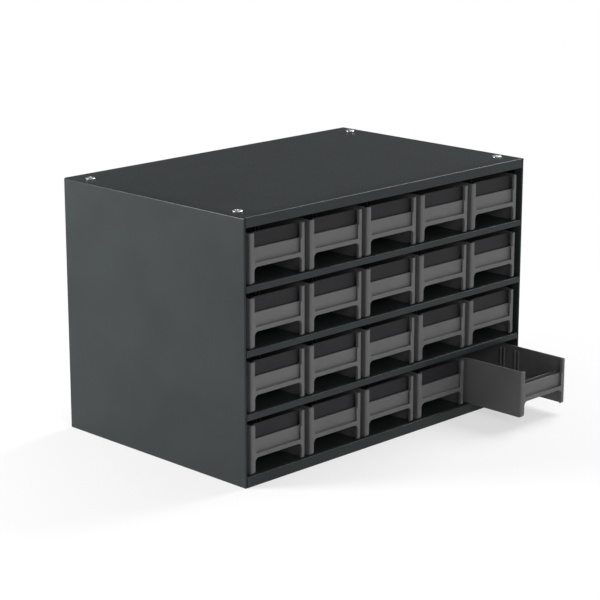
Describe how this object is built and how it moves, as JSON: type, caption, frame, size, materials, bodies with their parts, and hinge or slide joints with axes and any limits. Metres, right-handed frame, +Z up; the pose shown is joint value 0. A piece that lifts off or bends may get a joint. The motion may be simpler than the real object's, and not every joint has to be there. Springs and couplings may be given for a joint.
{
  "type": "small parts drawer cabinet",
  "caption": "Low steel cabinet with hemmed sides and lipped shelves that hold rows of moulded pull-out drawers, each with a label panel and a finger notch.",
  "frame": {"origin": "middle of the base, on the surface that the cabinet stands on", "axes": "+X to the right seen from the front, the drawers open towards -Y, +Z up"},
  "size_m": [0.4318, 0.3546, 0.2813],
  "materials": {
    "case_paint": "fine powder coat, dark grey with a slight green tint",
    "drawer_plastic": "fine-textured moulded plastic, medium dark grey",
    "zinc": "bright zinc plating"
  },
  "bodies": {
    "cabinet": {"case_wrapper": "case_paint", "back_panel": "case_paint", "base_pan": "case_paint", "shelf_r1": "case_paint", "shelf_r2": "case_paint", "shelf_r3": "case_paint", "shelf_r4": "case_paint", "guide_r1_1": "case_paint", "guide_r1_2": "case_paint", "guide_r1_3": "case_paint", "guide_r1_4": "case_paint", "guide_r1_5": "case_paint", "guide_r1_6": "case_paint", "guide_r2_1": "case_paint", "guide_r2_2": "case_paint", "guide_r2_3": "case_paint", "guide_r2_4": "case_paint", "guide_r2_5": "case_paint", "guide_r2_6": "case_paint", "guide_r3_1": "case_paint", "guide_r3_2": "case_paint", "guide_r3_3": "case_paint", "guide_r3_4": "case_paint", "guide_r3_5": "case_paint", "guide_r3_6": "case_paint", "guide_r4_1": "case_paint", "guide_r4_2": "case_paint", "guide_r4_3": "case_paint", "guide_r4_4": "case_paint", "guide_r4_5": "case_paint", "guide_r4_6": "case_paint", "top_screws": "zinc", "top_nuts": "zinc"},
    "tray_r1_c1": {"drawer_r1_c1": "drawer_plastic"},
    "tray_r1_c2": {"drawer_r1_c2": "drawer_plastic"},
    "tray_r1_c3": {"drawer_r1_c3": "drawer_plastic"},
    "tray_r1_c4": {"drawer_r1_c4": "drawer_plastic"},
    "tray_r1_c5": {"drawer_r1_c5": "drawer_plastic"},
    "tray_r2_c1": {"drawer_r2_c1": "drawer_plastic"},
    "tray_r2_c2": {"drawer_r2_c2": "drawer_plastic"},
    "tray_r2_c3": {"drawer_r2_c3": "drawer_plastic"},
    "tray_r2_c4": {"drawer_r2_c4": "drawer_plastic"},
    "tray_r2_c5": {"drawer_r2_c5": "drawer_plastic"},
    "tray_r3_c1": {"drawer_r3_c1": "drawer_plastic"},
    "tray_r3_c2": {"drawer_r3_c2": "drawer_plastic"},
    "tray_r3_c3": {"drawer_r3_c3": "drawer_plastic"},
    "tray_r3_c4": {"drawer_r3_c4": "drawer_plastic"},
    "tray_r3_c5": {"drawer_r3_c5": "drawer_plastic"},
    "tray_r4_c1": {"drawer_r4_c1": "drawer_plastic"},
    "tray_r4_c2": {"drawer_r4_c2": "drawer_plastic"},
    "tray_r4_c3": {"drawer_r4_c3": "drawer_plastic"},
    "tray_r4_c4": {"drawer_r4_c4": "drawer_plastic"},
    "tray_r4_c5": {"drawer_r4_c5": "drawer_plastic"}
  },
  "joints": [
    {"name": "slide_r1_c1", "type": "slide", "parent": "cabinet", "child": "tray_r1_c1", "axis": [0, -1, 0], "range_m": [0, 0.2659]},
    {"name": "slide_r1_c2", "type": "slide", "parent": "cabinet", "child": "tray_r1_c2", "axis": [0, -1, 0], "range_m": [0, 0.2659]},
    {"name": "slide_r1_c3", "type": "slide", "parent": "cabinet", "child": "tray_r1_c3", "axis": [0, -1, 0], "range_m": [0, 0.2659]},
    {"name": "slide_r1_c4", "type": "slide", "parent": "cabinet", "child": "tray_r1_c4", "axis": [0, -1, 0], "range_m": [0, 0.2659]},
    {"name": "slide_r1_c5", "type": "slide", "parent": "cabinet", "child": "tray_r1_c5", "axis": [0, -1, 0], "range_m": [0, 0.2659]},
    {"name": "slide_r2_c1", "type": "slide", "parent": "cabinet", "child": "tray_r2_c1", "axis": [0, -1, 0], "range_m": [0, 0.2659]},
    {"name": "slide_r2_c2", "type": "slide", "parent": "cabinet", "child": "tray_r2_c2", "axis": [0, -1, 0], "range_m": [0, 0.2659]},
    {"name": "slide_r2_c3", "type": "slide", "parent": "cabinet", "child": "tray_r2_c3", "axis": [0, -1, 0], "range_m": [0, 0.2659]},
    {"name": "slide_r2_c4", "type": "slide", "parent": "cabinet", "child": "tray_r2_c4", "axis": [0, -1, 0], "range_m": [0, 0.2659]},
    {"name": "slide_r2_c5", "type": "slide", "parent": "cabinet", "child": "tray_r2_c5", "axis": [0, -1, 0], "range_m": [0, 0.2659]},
    {"name": "slide_r3_c1", "type": "slide", "parent": "cabinet", "child": "tray_r3_c1", "axis": [0, -1, 0], "range_m": [0, 0.2659]},
    {"name": "slide_r3_c2", "type": "slide", "parent": "cabinet", "child": "tray_r3_c2", "axis": [0, -1, 0], "range_m": [0, 0.2659]},
    {"name": "slide_r3_c3", "type": "slide", "parent": "cabinet", "child": "tray_r3_c3", "axis": [0, -1, 0], "range_m": [0, 0.2659]},
    {"name": "slide_r3_c4", "type": "slide", "parent": "cabinet", "child": "tray_r3_c4", "axis": [0, -1, 0], "range_m": [0, 0.2659]},
    {"name": "slide_r3_c5", "type": "slide", "parent": "cabinet", "child": "tray_r3_c5", "axis": [0, -1, 0], "range_m": [0, 0.2659]},
    {"name": "slide_r4_c1", "type": "slide", "parent": "cabinet", "child": "tray_r4_c1", "axis": [0, -1, 0], "range_m": [0, 0.2659]},
    {"name": "slide_r4_c2", "type": "slide", "parent": "cabinet", "child": "tray_r4_c2", "axis": [0, -1, 0], "range_m": [0, 0.2659]},
    {"name": "slide_r4_c3", "type": "slide", "parent": "cabinet", "child": "tray_r4_c3", "axis": [0, -1, 0], "range_m": [0, 0.2659]},
    {"name": "slide_r4_c4", "type": "slide", "parent": "cabinet", "child": "tray_r4_c4", "axis": [0, -1, 0], "range_m": [0, 0.2659]},
    {"name": "slide_r4_c5", "type": "slide", "parent": "cabinet", "child": "tray_r4_c5", "axis": [0, -1, 0], "range_m": [-0.0762, 0.1897]}
  ]
}
